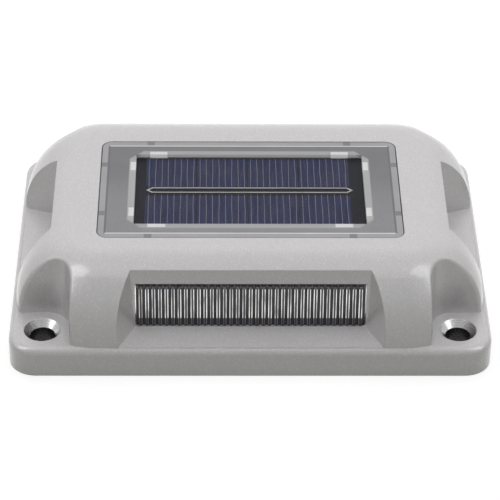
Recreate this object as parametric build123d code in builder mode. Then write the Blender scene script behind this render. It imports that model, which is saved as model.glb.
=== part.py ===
from build123d import *
from math import atan2, cos, degrees, pi, radians, sin, tan
import os

# Solar dock light: a low cast housing with a clear window over a solar board, a ribbed lens in each of
# its four sides and a screwed plate underneath that closes the battery and the electronics in.
# Millimetres. X runs along the length, the front faces -Y, +Z is up, and the origin is the middle of
# the underside.

# Housing, outside
length = 150.0
width = 107.0
height = 33.5
flange_height = 10.0
flange_corner = 8.6
flange_edge = 2.3
crown_inset = 1.3
crown_reach = 19.1
crown_top_radius = 15.3
crown_corner_blend = 7.0

# Corner pockets and mounting holes
pad_size = 19.0
pad_corner = 7.5
pad_draft = 2.0
pocket_rim = 1.3
hole_inset = 10.4
hole_diameter = 7.6
hole_sink_diameter = 11.6

# Light recesses, one on each side
recess_reach = 10.4
recess_lean = 6.0
recess_floor_rise = 1.0
recess_flare = 30.0
recess_draft = 6.0
recess_margin = 0.2

# Housing, inside
rim_width = 3.0
plate_seat = 2.2
ledge_width = 1.6
cavity_side = 15.0
cavity_corner_long = 25.0
cavity_corner_wide = 25.5
cavity_corner_radius = 3.0
cavity_top = 28.7
seal_land = 3.5
trench_top = 7.5
plate_notch = 21.0
plate_corner = 5.0
core_top = 16.0
core_wall = 2.5
trench_corner = 1.5
boss_diameter = 6.4
boss_overlap = 0.8

# Window and solar board
board_length = 73.0
board_width = 38.4
board_thickness = 1.2
window_border_long = 11.5
window_border_wide = 7.8
window_corner = 3.5
window_depth = 3.6
window_ledge = 4.0
window_gap = 0.3
window_flush = 0.1
window_sheet = 1.0
window_skirt = 2.0
window_notch = 2.4
window_notch_from_end = 16.0
window_notch_from_side = 13.4
window_notch_extra_from_end = 9.7
window_gasket_thickness = 0.6
tray_gap = 0.3
tray_rim = 2.2
tray_floor = 1.6
tray_corner = 2.0
well_border = 2.3
well_depth = 1.6
well_chamfer = 4.5
tape_gap = 0.3
tape_thickness = 0.4
tape_under_board = 6.0
lead_hole_length = 6.0
lead_hole_width = 3.0
spacer_width = 1.7
spacer_gap = 0.15
spacer_long = 5.6
spacer_short = 4.6
spacer_height = 1.0
spacer_from_end = 7.1
spacer_from_side = 6.4
cells_long = 4
cells_wide = 2
cell_border_long = 3.7
cell_border_wide = 0.65
cell_space = 0.3
cell_row_space = 5.1
cell_shift = -0.6
cell_thickness = 0.2
ribbon_overrun = 0.4
ribbon_width = 2.9
ribbon_point = 1.8
ribbon_bar = 0.45
ribbon_shift = 0.8
ribbon_thickness = 0.2

# Lens, its gasket, and the carrier behind it with the light board
long_lens_from_end = 39.5
end_lens_from_side = 36.2
lens_height = 15.0
lens_foot = 0.3
lens_corner = 0.6
lens_gap = 0.2
lens_rim = 1.0
rib_pitch = 2.0
rib_width = 1.5
rib_setback = 0.3
lens_flange = 2.2
lens_flange_thickness = 1.2
lens_wall = 2.2
lens_gasket_thickness = 0.6
seat_gap = 0.4
carrier_thickness = 1.4
carrier_border = 2.6
carrier_wall = 1.2
carrier_depth = 4.6
ear_length = 7.0
ear_height = 8.0
light_board_thickness = 1.0
light_board_border = 0.8
light_board_gap = 0.2
led_size = 5.0
led_height = 1.4
led_pitch = 10.0
led_dish = 4.0
led_dish_depth = 0.3

# Fasteners
small_screw = 2.0
small_screw_head = 3.8
small_screw_head_height = 1.4
small_screw_length = 5.0
plate_screw = 3.0
plate_screw_head = 5.6
plate_screw_length = 7.6
screw_fit = 0.05
screw_hole_spare = 0.6
drive_depth = 0.7
drive_width = 0.5

# Base plate and its gasket
plate_thickness = 1.9
plate_gap = 0.3
base_gasket_width = 1.8
base_gasket_inset = 0.9
base_gasket_groove = 0.7
plate_screw_spacing = 50.0

# Control board and what stands on it
control_length = 64.0
control_width = 28.0
control_thickness = 1.6
control_offset = 14.0
post_height = 8.8
post_diameter = 5.0
post_inset = 3.2
connector_length = 5.0
connector_width = 4.4
connector_height = 3.6
connector_row = 7.0
connector_pitch = 9.0
connector_count = 6
component_set_back = 4.0
chip_x = -4.0
inductor_x = 7.0
capacitor_x = 19.0
resistor_x = -13.0
chip_length = 6.0
chip_width = 5.0
chip_height = 1.6
inductor_size = 7.0
inductor_height = 4.0
capacitor_diameter = 6.3
capacitor_height = 7.0
resistor_length = 2.0
resistor_width = 1.25
resistor_height = 0.6
resistor_pitch = 3.0

# Push button and switch
button_x = -20.0
button_stem = 7.0
button_fit = 0.1
button_recess = 0.6
button_flange = 9.2
button_flange_height = 1.3
button_rest_gap = 0.1
button_travel = 1.5
button_edge = 0.5
collar_wall = 1.4
collar_height = 3.0
switch_size = 8.4
switch_height = 5.2
plunger_diameter = 3.2
plunger_grip = 2.4
plunger_spare = 0.4

# Battery
cell_diameter = 14.2
cell_body_length = 49.0
cell_nub_diameter = 5.5
cell_nub_length = 1.0
cell_edge = 0.6
battery_offset = -19.0
holder_wall = 1.6
holder_floor = 1.2
holder_side_height = 11.0
holder_cell_gap = 0.3
cell_rest = 0.05
peg_spacing = 36.0
peg_diameter = 3.0
peg_height = 1.0
contact_height = 12.6
contact_thickness = 0.4
contact_width = 9.0

# Leads
lead_diameter = 1.2
lead_bend = 4.0
lead_level = 23.0
battery_lead_level = 20.6
lead_exit = 5.0
lead_rise_run = 6.0
lead_pair_spacing = 2.0
solar_lead_y = -4.0

# Sizes worked out from the values above
long_lens_length = length - 2 * long_lens_from_end
end_lens_length = width - 2 * end_lens_from_side
window_length = board_length + 2 * window_border_long
window_width = board_width + 2 * window_border_wide
cell_pitch_long = (board_length - 2 * cell_border_long) / cells_long
cell_length = cell_pitch_long - cell_space
cell_pitch_wide = (board_width - 2 * cell_border_wide + cell_row_space) / cells_wide
cell_width = cell_pitch_wide - cell_row_space
ribbon_length = cells_long * cell_pitch_long + ribbon_overrun
crown_rise = height - flange_height
arc_rise = crown_rise - crown_top_radius
arc_reach = crown_reach - crown_top_radius
radius_step = (arc_rise ** 2 + arc_reach ** 2) / (2 * arc_reach)
crown_side_radius = crown_top_radius + radius_step
crown_side_turn = degrees(atan2(arc_rise, radius_step - arc_reach))
crown_corner = crown_reach + crown_corner_blend
crown_half_length = length / 2 - crown_inset
crown_half_width = width / 2 - crown_inset
crown_root = flange_height / 2
pocket_foot = pad_size - (flange_height - crown_root) * tan(radians(pad_draft))
recess_foot = flange_height + recess_floor_rise
hole_spacing_long = length - 2 * hole_inset
hole_spacing_wide = width - 2 * hole_inset
lens_flange_depth = lens_wall + lens_gasket_thickness
carrier_face = lens_flange_depth + lens_flange_thickness
light_board_face = carrier_face + carrier_depth - light_board_thickness - light_board_gap
carrier_back = carrier_face + carrier_depth
ear_hole_inset = lens_flange + seat_gap + ear_length / 2
plate_underside = plate_seat - plate_thickness
trench_x_in = length / 2 - cavity_side + seal_land
trench_x_out = length / 2 - rim_width - ledge_width
trench_y_in = width / 2 - cavity_side + seal_land
trench_y_out = width / 2 - rim_width - ledge_width
trench_half_long = length / 2 - plate_notch - ledge_width
trench_half_wide = width / 2 - plate_notch - ledge_width
recess_spread = recess_margin + recess_reach * tan(radians(recess_flare))
core_x_in = long_lens_length / 2 + recess_spread + core_wall
core_y_in = end_lens_length / 2 + recess_spread + core_wall
plate_screw_row = trench_y_out - boss_diameter / 2 + boss_overlap
plate_screw_end = trench_x_out - boss_diameter / 2 + boss_overlap
window_seat = height - window_depth
tray_bottom = window_seat - tray_floor
well_floor = window_seat + tray_rim - well_depth
board_bottom = well_floor + tape_thickness
board_top = board_bottom + board_thickness
control_bottom = plate_seat + post_height
control_top = control_bottom + control_thickness
connector_top = control_top + connector_height
switch_bottom = control_bottom - switch_height
cell_level = plate_seat + holder_floor + cell_rest + cell_diameter / 2
cell_span = cell_body_length + cell_nub_length
holder_length = cell_span + 2 * contact_thickness + 2 * holder_wall
holder_width = cell_diameter + 2 * (holder_cell_gap + holder_wall)
seat_reach = lens_flange + seat_gap
lens_middle = lens_foot + lens_height / 2
sheet_bottom = height - window_flush - window_sheet
skirt_bottom = window_seat + window_gasket_thickness
skirt_height = sheet_bottom - skirt_bottom
plunger_bottom = plate_seat + button_rest_gap + button_flange_height
connector_y = control_offset - control_width / 2 + connector_row
connector_xs = [(place - (connector_count - 1) / 2) * connector_pitch for place in range(connector_count)]
solar_connector_x = connector_xs[2]
component_row = control_offset + component_set_back
plate_screw_points = [
    (x * plate_screw_spacing / 2, y * plate_screw_row) for x in (-1, 1) for y in (-1, 1)
] + [(-plate_screw_end, 0), (plate_screw_end, 0)]
post_points = [
    (x * (control_length / 2 - post_inset), control_offset + y * (control_width / 2 - post_inset))
    for x in (-1, 1)
    for y in (-1, 1)
]

# Each side of the light: its name, the way it faces, how far out its edge is and how long its lens is
sides = (
    ("front", 0, width / 2, long_lens_length),
    ("right", 90, length / 2, end_lens_length),
    ("rear", 180, width / 2, long_lens_length),
    ("left", 270, length / 2, end_lens_length),
)

os.makedirs("parts", exist_ok=True)


# Frames for the four sides

def outward_of(turn):
    """Level direction that a side faces."""
    return Vector(sin(radians(turn)), -cos(radians(turn)), 0)


def along_of(turn):
    """Level direction along a side, to the right for someone who looks at it."""
    return Vector(cos(radians(turn)), sin(radians(turn)), 0)


def wall_plane(turn, edge, depth=0.0):
    """Plane of a recess wall, or one behind it, with its origin at the middle of the wall's foot."""
    outward = outward_of(turn)
    origin = outward * (edge - recess_reach) + Vector(0, 0, recess_foot)
    normal = outward * cos(radians(recess_lean)) + Vector(0, 0, sin(radians(recess_lean)))
    return Plane(origin=origin, x_dir=along_of(turn), z_dir=normal).offset(-depth)


def rib_plane(turn, edge, level):
    """Plane square to the ribs, where local y is the depth behind the wall."""
    wall = wall_plane(turn, edge)
    return Plane(origin=wall.from_local_coords((0, level, 0)), x_dir=wall.x_dir, z_dir=wall.y_dir)


def lens_outline(plane, lens_length, grow):
    """Outline of a lens, or of the hole that it stands in, with its lower corners rounded."""
    with BuildSketch(plane) as outline:
        with Locations((0, lens_foot + lens_height / 2)):
            Rectangle(lens_length + 2 * grow, lens_height + 2 * grow)
        fillet(outline.vertices().group_by(Axis.Y)[0], lens_corner + grow)
    return outline.sketch


# Housing

def crown_section(plane, span):
    """Half section of the crown, from its middle out to its foot."""
    with BuildSketch(plane) as section:
        with BuildLine():
            foot = Line((span, crown_root), (span, flange_height))
            side = JernArc(foot @ 1, foot % 1, crown_side_radius, crown_side_turn)
            top = JernArc(side @ 1, side % 1, crown_top_radius, 90 - crown_side_turn)
            flat = Line(top @ 1, (0, height))
            middle = Line(flat @ 1, (0, crown_root))
            Line(middle @ 1, foot @ 0)
        make_face()
    return section.sketch


corner_x = crown_half_length - crown_corner
corner_y = crown_half_width - crown_corner
with BuildPart() as quarter:
    extrude(crown_section(Plane.XZ, crown_half_length), amount=corner_y)
    across = Plane(origin=(0, 0, 0), x_dir=(0, -1, 0), z_dir=(-1, 0, 0))
    extrude(crown_section(across, crown_half_width), amount=-corner_x)
    corner_frame = Plane(origin=(corner_x, -corner_y, 0), x_dir=(1, 0, 0), z_dir=(0, -1, 0))
    corner_axis = Axis((corner_x, -corner_y, 0), (0, 0, -1))
    revolve(crown_section(corner_frame, crown_corner), axis=corner_axis, revolution_arc=90)

with BuildPart() as pocket:
    with BuildSketch(Plane.XY.offset(crown_root)):
        with Locations((length / 2, -width / 2)):
            RectangleRounded(2 * pocket_foot, 2 * pocket_foot, pad_corner)
    extrude(amount=height, taper=-pad_draft)

with BuildPart() as crown:
    add(quarter.part - pocket.part)
    pocket_edges = new_edges(quarter.part, pocket.part, combined=crown.part)
    fillet([edge for edge in pocket_edges if edge.center().Z > crown_root + pocket_rim], pocket_rim)
    mirror(about=Plane.XZ)
    mirror(about=Plane.YZ)


def recess_cutter(turn, edge, lens_length):
    """Space that a light recess takes out of the housing."""
    outward = outward_of(turn)
    half = lens_length / 2 + recess_margin
    beyond = edge + recess_reach
    ceiling = height + flange_edge
    lean_back = (ceiling - recess_foot) * tan(radians(recess_lean))
    foot = edge - recess_reach
    inner = foot - lean_back - recess_reach
    wide = half + (beyond - foot) * tan(radians(recess_flare))
    narrow = half - (foot - inner) * tan(radians(recess_flare))
    with BuildPart() as cutter:
        with BuildSketch(Plane(origin=(0, 0, 0), x_dir=outward, z_dir=outward.cross(Vector(0, 0, 1)))):
            with BuildLine():
                Polyline(
                    (foot, recess_foot),
                    (edge - flange_edge, flange_height),
                    (beyond, flange_height),
                    (beyond, ceiling),
                    (foot - lean_back, ceiling),
                    close=True,
                )
            make_face()
        extrude(amount=edge, both=True)
        with BuildSketch(Plane(origin=(0, 0, flange_height), x_dir=along_of(turn), z_dir=(0, 0, 1))):
            with BuildLine():
                Polyline((-narrow, -inner), (narrow, -inner), (wide, -beyond), (-wide, -beyond), close=True)
            make_face()
        extrude(amount=ceiling, taper=-recess_draft, mode=Mode.INTERSECT)
    return cutter.part


with BuildSketch() as cavity_plan:
    Rectangle(length - 2 * cavity_side, width - 2 * cavity_corner_wide)
    Rectangle(length - 2 * cavity_corner_long, width - 2 * cavity_side)
    fillet(cavity_plan.vertices(), cavity_corner_radius)

with BuildSketch() as plate_plan:
    RectangleRounded(length - 2 * rim_width, width - 2 * rim_width, plate_corner)
    with GridLocations(length, width, 2, 2):
        Rectangle(2 * plate_notch, 2 * plate_notch, mode=Mode.SUBTRACT)
    fillet(plate_plan.vertices(), cavity_corner_radius)

with BuildSketch() as trench_plan:
    with GridLocations(0, trench_y_in + trench_y_out, 1, 2):
        RectangleRounded(2 * trench_half_long, trench_y_out - trench_y_in, trench_corner)
    with GridLocations(trench_x_in + trench_x_out, 0, 2, 1):
        RectangleRounded(trench_x_out - trench_x_in, 2 * trench_half_wide, trench_corner)
    with Locations(*plate_screw_points):
        Circle(boss_diameter / 2, mode=Mode.SUBTRACT)

with BuildSketch() as core_plan:
    with GridLocations(core_x_in + trench_half_long, trench_y_in + trench_y_out, 2, 2):
        RectangleRounded(trench_half_long - core_x_in, trench_y_out - trench_y_in, trench_corner)
    with GridLocations(trench_x_in + trench_x_out, core_y_in + trench_half_wide, 2, 2):
        RectangleRounded(trench_x_out - trench_x_in, trench_half_wide - core_y_in, trench_corner)

with BuildPart() as housing:
    with BuildSketch():
        RectangleRounded(length, width, flange_corner)
    extrude(amount=flange_height)
    fillet(housing.edges().group_by(Axis.Z)[-1], flange_edge)
    add(crown.part)
    for side_name, turn, edge, lens_length in sides:
        add(recess_cutter(turn, edge, lens_length), mode=Mode.SUBTRACT)
    with Locations(Plane.XY.offset(flange_height)):
        with GridLocations(hole_spacing_long, hole_spacing_wide, 2, 2):
            CounterSinkHole(hole_diameter / 2, hole_sink_diameter / 2, flange_height)
    # Hollows, open to the underside
    extrude(plate_plan.sketch, amount=plate_seat, mode=Mode.SUBTRACT)
    extrude(cavity_plan.sketch, amount=cavity_top, mode=Mode.SUBTRACT)
    extrude(trench_plan.sketch, amount=trench_top, mode=Mode.SUBTRACT)
    extrude(core_plan.sketch, amount=core_top, mode=Mode.SUBTRACT)
    # Threaded holes for the plate screws
    with BuildSketch(Plane.XY.offset(plate_seat)):
        with Locations(*plate_screw_points):
            Circle(plate_screw / 2 + screw_fit)
    extrude(amount=plate_screw_length - plate_thickness + screw_hole_spare, mode=Mode.SUBTRACT)
    # Rebate and opening for the window
    with BuildSketch(Plane.XY.offset(window_seat)):
        RectangleRounded(window_length, window_width, window_corner)
    extrude(amount=window_depth, mode=Mode.SUBTRACT)
    with BuildSketch(Plane.XY.offset(window_seat)):
        RectangleRounded(window_length - 2 * window_ledge, window_width - 2 * window_ledge, tray_corner)
    extrude(amount=cavity_top - window_seat, mode=Mode.SUBTRACT)
    # Lens holes, with the seats behind them for the lens flange and the carrier's ears
    for side_name, turn, edge, lens_length in sides:
        inward = -(carrier_back + carrier_thickness)
        opening = lens_outline(wall_plane(turn, edge), lens_length, lens_gap)
        extrude(opening, amount=inward, mode=Mode.SUBTRACT)
        with BuildSketch(wall_plane(turn, edge, lens_wall)):
            with Locations((0, lens_middle)):
                Rectangle(lens_length + 2 * seat_reach, lens_height + 2 * seat_reach)
        extrude(amount=inward + lens_wall, mode=Mode.SUBTRACT)
        with BuildSketch(wall_plane(turn, edge, carrier_face)):
            with Locations((0, lens_middle)):
                Rectangle(lens_length + 2 * (seat_reach + ear_length), ear_height + 2 * seat_gap)
        extrude(amount=inward + carrier_face, mode=Mode.SUBTRACT)
        with BuildSketch(wall_plane(turn, edge, carrier_face)):
            with Locations((0, lens_middle)):
                with GridLocations(lens_length + 2 * ear_hole_inset, 0, 2, 1):
                    Circle(small_screw / 2 + screw_fit)
        extrude(amount=small_screw_length - carrier_thickness + screw_hole_spare, mode=Mode.SUBTRACT)

housing.part.label = "housing"
export_step(housing.part, "parts/housing.step")


# Window, and the tray with the solar board under it

def notched_ring(base, top):
    """Places of the notches in the window's skirt, as boxes from one height to another."""
    span = 2 * window_skirt
    skirt_x = window_length / 2 - window_gap - window_skirt / 2
    skirt_y = window_width / 2 - window_gap - window_skirt / 2
    with BuildPart() as notches:
        with BuildSketch(Plane.XY.offset(base)):
            with GridLocations(window_length - 2 * window_notch_from_end, 2 * skirt_y, 2, 2):
                Rectangle(window_notch, span)
            with GridLocations(2 * skirt_x, window_width - 2 * window_notch_from_side, 2, 2):
                Rectangle(span, window_notch)
            with Locations((window_length / 2 - window_notch_extra_from_end, skirt_y)):
                Rectangle(window_notch, span)
        extrude(amount=top - base)
    return notches.part


with BuildSketch() as window_plan:
    outer_length = window_length - 2 * window_gap
    outer_width = window_width - 2 * window_gap
    RectangleRounded(outer_length, outer_width, window_corner - window_gap)

with BuildSketch(Plane.XY.offset(window_seat)) as window_ring:
    add(window_plan.sketch)
    inner_length = outer_length - 2 * window_skirt
    inner_width = outer_width - 2 * window_skirt
    RectangleRounded(inner_length, inner_width, tray_corner, mode=Mode.SUBTRACT)

with BuildPart() as window_gasket:
    extrude(window_ring.sketch, amount=window_gasket_thickness)

window_gasket.part.label = "window_gasket"
export_step(window_gasket.part, "parts/window_gasket.step")

with BuildPart() as window_plate:
    with BuildSketch(Plane.XY.offset(sheet_bottom)):
        add(window_plan.sketch)
    extrude(amount=window_sheet)
    extrude(window_ring.sketch.moved(Location((0, 0, window_gasket_thickness))), amount=skirt_height)
    add(notched_ring(skirt_bottom, sheet_bottom), mode=Mode.SUBTRACT)

window_plate.part.label = "window_plate"
export_step(window_plate.part, "parts/window_plate.step")


def chamfered_plan(height_above, long_side, short_side, cut):
    """Level rectangle with its four corners cut off, for the well round the solar board."""
    with BuildSketch(Plane.XY.offset(height_above)) as plan:
        Rectangle(long_side, short_side)
        chamfer(plan.vertices(), cut)
    return plan.sketch


with BuildPart() as panel_tray:
    with BuildSketch(Plane.XY.offset(window_seat)):
        RectangleRounded(inner_length - 2 * tray_gap, inner_width - 2 * tray_gap, tray_corner)
    extrude(amount=tray_rim)
    with BuildSketch(Plane.XY.offset(window_seat)):
        opening_length = window_length - 2 * window_ledge
        opening_width = window_width - 2 * window_ledge
        RectangleRounded(opening_length - 2 * tray_gap, opening_width - 2 * tray_gap, tray_corner)
    extrude(amount=-tray_floor)
    well_length = board_length + 2 * well_border
    well_width = board_width + 2 * well_border
    well_plan = chamfered_plan(well_floor, well_length, well_width, well_chamfer)
    extrude(well_plan, amount=well_depth, mode=Mode.SUBTRACT)
    with BuildSketch(Plane.XY.offset(tray_bottom)):
        with Locations((solar_connector_x, solar_lead_y)):
            Rectangle(lead_hole_length, lead_hole_width)
    extrude(amount=well_floor - tray_bottom, mode=Mode.SUBTRACT)

panel_tray.part.label = "panel_tray"
export_step(panel_tray.part, "parts/panel_tray.step")

with BuildPart() as panel_tape:
    extrude(
        chamfered_plan(well_floor, well_length - 2 * tape_gap, well_width - 2 * tape_gap, well_chamfer),
        amount=tape_thickness,
    )
    with BuildSketch(Plane.XY.offset(well_floor)):
        Rectangle(board_length - 2 * tape_under_board, board_width - 2 * tape_under_board)
    extrude(amount=tape_thickness, mode=Mode.SUBTRACT)

panel_tape.part.label = "panel_tape"
export_step(panel_tape.part, "parts/panel_tape.step")

with BuildPart() as window_spacers:
    with BuildSketch(Plane.XY.offset(board_bottom)):
        spacer_off = 2 * spacer_gap + spacer_width
        with GridLocations(board_length - 2 * spacer_from_end, board_width + spacer_off, 2, 2):
            Rectangle(spacer_long, spacer_width)
        with GridLocations(board_length + spacer_off, board_width - 2 * spacer_from_side, 2, 2):
            Rectangle(spacer_width, spacer_short)
    extrude(amount=spacer_height)

window_spacers.part.label = "window_spacers"
export_step(window_spacers.part, "parts/window_spacers.step")

with BuildPart() as solar_board:
    with BuildSketch(Plane.XY.offset(board_bottom)):
        Rectangle(board_length, board_width)
    extrude(amount=board_thickness)

solar_board.part.label = "solar_board"
export_step(solar_board.part, "parts/solar_board.step")

with BuildPart() as solar_cells:
    with BuildSketch(Plane.XY.offset(board_top)):
        with Locations((cell_shift, 0)):
            with GridLocations(cell_pitch_long, cell_pitch_wide, cells_long, cells_wide):
                Rectangle(cell_length, cell_width)
    extrude(amount=cell_thickness)

solar_cells.part.label = "solar_cells"
export_step(solar_cells.part, "parts/solar_cells.step")

with BuildPart() as cell_ribbon:
    with BuildSketch(Plane.XY.offset(board_top)):
        with BuildLine():
            Polyline(
                (-ribbon_length / 2, ribbon_shift),
                (-ribbon_length / 2 + ribbon_point, ribbon_shift + ribbon_width / 2),
                (ribbon_length / 2 - ribbon_point, ribbon_shift + ribbon_width / 2),
                (ribbon_length / 2, ribbon_shift),
                (ribbon_length / 2 - ribbon_point, ribbon_shift - ribbon_width / 2),
                (-ribbon_length / 2 + ribbon_point, ribbon_shift - ribbon_width / 2),
                close=True,
            )
        make_face()
        offset(amount=-ribbon_bar, kind=Kind.INTERSECTION, mode=Mode.SUBTRACT)
    extrude(amount=ribbon_thickness)

cell_ribbon.part.label = "cell_ribbon"
export_step(cell_ribbon.part, "parts/cell_ribbon.step")


# Screws

with BuildPart() as pan_screw:
    head = Cylinder(
        small_screw_head / 2,
        small_screw_head_height,
        align=(Align.CENTER, Align.CENTER, Align.MIN),
    )
    fillet(head.edges().group_by(Axis.Z)[-1], small_screw_head_height / 3)
    Cylinder(small_screw / 2, small_screw_length, align=(Align.CENTER, Align.CENTER, Align.MAX))
    with BuildSketch(Plane.XY.offset(small_screw_head_height)):
        Rectangle(small_screw, drive_width)
        Rectangle(drive_width, small_screw)
    extrude(amount=-drive_depth, mode=Mode.SUBTRACT)

with BuildPart() as flat_screw:
    with BuildSketch(Plane.XZ):
        with BuildLine():
            Polyline(
                (0, 0),
                (plate_screw_head / 2, 0),
                (plate_screw / 2, -(plate_screw_head - plate_screw) / 2),
                (plate_screw / 2, -plate_screw_length),
                (0, -plate_screw_length),
                close=True,
            )
        make_face()
    revolve(axis=Axis.Z)
    with BuildSketch():
        Rectangle(plate_screw, drive_width)
        Rectangle(drive_width, plate_screw)
    extrude(amount=-drive_depth, mode=Mode.SUBTRACT)


# Lens, gasket, carrier and light board of each side

for side_name, turn, edge, lens_length in sides:
    window_of_carrier = (lens_length - 2 * carrier_border, lens_height - 2 * carrier_border)
    light_board_size = tuple(side + 2 * light_board_border for side in window_of_carrier)
    carrier_rebate = tuple(side + 2 * light_board_gap for side in light_board_size)
    carrier_tube = tuple(side + 2 * carrier_wall for side in carrier_rebate)

    with BuildPart() as lens:
        valley = rib_setback + rib_width / 2
        rib_count = int((lens_length - rib_width) / rib_pitch) + 1
        with BuildSketch(rib_plane(turn, edge, lens_foot)):
            with Locations((0, (valley + lens_flange_depth) / 2)):
                Rectangle(lens_length, lens_flange_depth - valley)
        extrude(amount=lens_height)
        with BuildSketch(rib_plane(turn, edge, lens_foot)):
            with Locations((0, valley)):
                with GridLocations(rib_pitch, 0, rib_count, 1):
                    Circle(rib_width / 2)
        extrude(amount=lens_height - lens_rim)
        rounded = lens_outline(wall_plane(turn, edge), lens_length, 0)
        extrude(rounded, amount=-lens_flange_depth, mode=Mode.INTERSECT)
        with BuildSketch(wall_plane(turn, edge, lens_flange_depth)):
            with Locations((0, lens_middle)):
                Rectangle(lens_length + 2 * lens_flange, lens_height + 2 * lens_flange)
        extrude(amount=-lens_flange_thickness)

    lens.part.label = f"{side_name}_lens"
    export_step(lens.part, f"parts/{side_name}_lens.step")

    with BuildPart() as lens_gasket:
        with BuildSketch(wall_plane(turn, edge, lens_wall)):
            with Locations((0, lens_middle)):
                Rectangle(lens_length + 2 * lens_flange, lens_height + 2 * lens_flange)
        extrude(amount=-lens_gasket_thickness)
        inner_outline = lens_outline(wall_plane(turn, edge, lens_wall), lens_length, seat_gap)
        extrude(inner_outline, amount=-lens_gasket_thickness, mode=Mode.SUBTRACT)

    lens_gasket.part.label = f"{side_name}_lens_gasket"
    export_step(lens_gasket.part, f"parts/{side_name}_lens_gasket.step")

    with BuildPart() as carrier:
        with BuildSketch(wall_plane(turn, edge, carrier_face)):
            with Locations((0, lens_middle)):
                Rectangle(lens_length + 2 * lens_flange, lens_height + 2 * lens_flange)
                Rectangle(lens_length + 2 * (lens_flange + ear_length), ear_height)
                with GridLocations(lens_length + 2 * ear_hole_inset, 0, 2, 1):
                    Circle(small_screw / 2 + screw_fit, mode=Mode.SUBTRACT)
        extrude(amount=-carrier_thickness)
        with BuildSketch(wall_plane(turn, edge, carrier_face)):
            with Locations((0, lens_middle)):
                Rectangle(*carrier_tube)
        extrude(amount=-carrier_depth)
        with BuildSketch(wall_plane(turn, edge, carrier_face)):
            with Locations((0, lens_middle)):
                Rectangle(*window_of_carrier)
        extrude(amount=-carrier_depth, mode=Mode.SUBTRACT)
        with BuildSketch(wall_plane(turn, edge, light_board_face)):
            with Locations((0, lens_middle)):
                Rectangle(*carrier_rebate)
        extrude(amount=light_board_face - carrier_back, mode=Mode.SUBTRACT)

    carrier.part.label = f"{side_name}_carrier"
    export_step(carrier.part, f"parts/{side_name}_carrier.step")

    with BuildPart() as light_board:
        with BuildSketch(wall_plane(turn, edge, light_board_face)):
            with Locations((0, lens_middle)):
                Rectangle(*light_board_size)
        extrude(amount=-light_board_thickness)

    light_board.part.label = f"{side_name}_light_board"
    export_step(light_board.part, f"parts/{side_name}_light_board.step")

    with BuildPart() as leds:
        led_count = int(window_of_carrier[0] / led_pitch)
        with BuildSketch(wall_plane(turn, edge, light_board_face)):
            with Locations((0, lens_middle)):
                with GridLocations(led_pitch, 0, led_count, 1):
                    Rectangle(led_size, led_size)
        extrude(amount=led_height)
        with BuildSketch(wall_plane(turn, edge, light_board_face - led_height)):
            with Locations((0, lens_middle)):
                with GridLocations(led_pitch, 0, led_count, 1):
                    Circle(led_dish / 2)
        extrude(amount=-led_dish_depth, mode=Mode.SUBTRACT)

    leds.part.label = f"{side_name}_leds"
    export_step(leds.part, f"parts/{side_name}_leds.step")

with BuildPart() as carrier_screws:
    for side_name, turn, edge, lens_length in sides:
        ear_back = wall_plane(turn, edge, carrier_face + carrier_thickness)
        ear_x = lens_length / 2 + ear_hole_inset
        for place in (-ear_x, ear_x):
            seat = Plane(
                origin=ear_back.from_local_coords((place, lens_middle, 0)),
                x_dir=ear_back.x_dir,
                z_dir=-ear_back.z_dir,
            )
            with Locations(seat):
                add(pan_screw.part)

carrier_screws.part.label = "carrier_screws"
export_step(carrier_screws.part, "parts/carrier_screws.step")


# Base plate, its gasket and its screws

with BuildPart() as base_plate:
    with BuildSketch(Plane.XY.offset(plate_underside)):
        offset(plate_plan.sketch, amount=-plate_gap)
    extrude(amount=plate_thickness)
    with BuildSketch(Plane.XY.offset(plate_seat)):
        offset(cavity_plan.sketch, amount=base_gasket_inset + base_gasket_width + screw_fit)
        offset(cavity_plan.sketch, amount=base_gasket_inset - screw_fit, mode=Mode.SUBTRACT)
    extrude(amount=-base_gasket_groove, mode=Mode.SUBTRACT)
    with Locations(Plane(origin=(0, 0, plate_underside), x_dir=(1, 0, 0), z_dir=(0, 0, -1))):
        with Locations(*plate_screw_points):
            head_hole = plate_screw_head / 2 + screw_fit
            CounterSinkHole(plate_screw / 2 + 2 * screw_fit, head_hole, plate_thickness)
    # Posts for the control board, pegs for the battery holder and the collar of the push button
    with BuildSketch(Plane.XY.offset(plate_seat)):
        with Locations(*post_points):
            Circle(post_diameter / 2)
            Circle(small_screw / 2 + screw_fit, mode=Mode.SUBTRACT)
    extrude(amount=post_height)
    with BuildSketch(Plane.XY.offset(plate_seat)):
        with Locations((0, battery_offset)):
            with GridLocations(peg_spacing, 0, 2, 1):
                Circle(peg_diameter / 2)
    extrude(amount=peg_height)
    with BuildSketch(Plane.XY.offset(plate_seat)):
        with Locations((button_x, control_offset)):
            Circle(button_flange / 2 + button_fit + collar_wall)
            Circle(button_flange / 2 + button_fit, mode=Mode.SUBTRACT)
    extrude(amount=collar_height)
    with BuildSketch(Plane.XY.offset(plate_underside)):
        with Locations((button_x, control_offset)):
            Circle(button_stem / 2 + button_fit)
    extrude(amount=plate_thickness, mode=Mode.SUBTRACT)

base_plate.part.label = "base_plate"
export_step(base_plate.part, "parts/base_plate.step")

with BuildPart() as base_gasket:
    with BuildSketch(Plane.XY.offset(plate_seat - base_gasket_groove)):
        offset(cavity_plan.sketch, amount=base_gasket_inset + base_gasket_width)
        offset(cavity_plan.sketch, amount=base_gasket_inset, mode=Mode.SUBTRACT)
    extrude(amount=base_gasket_groove)

base_gasket.part.label = "base_gasket"
export_step(base_gasket.part, "parts/base_gasket.step")

with BuildPart() as plate_screws:
    with Locations(Plane(origin=(0, 0, plate_underside), x_dir=(1, 0, 0), z_dir=(0, 0, -1))):
        with Locations(*plate_screw_points):
            add(flat_screw.part)

plate_screws.part.label = "plate_screws"
export_step(plate_screws.part, "parts/plate_screws.step")


# Push button and switch

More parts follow.
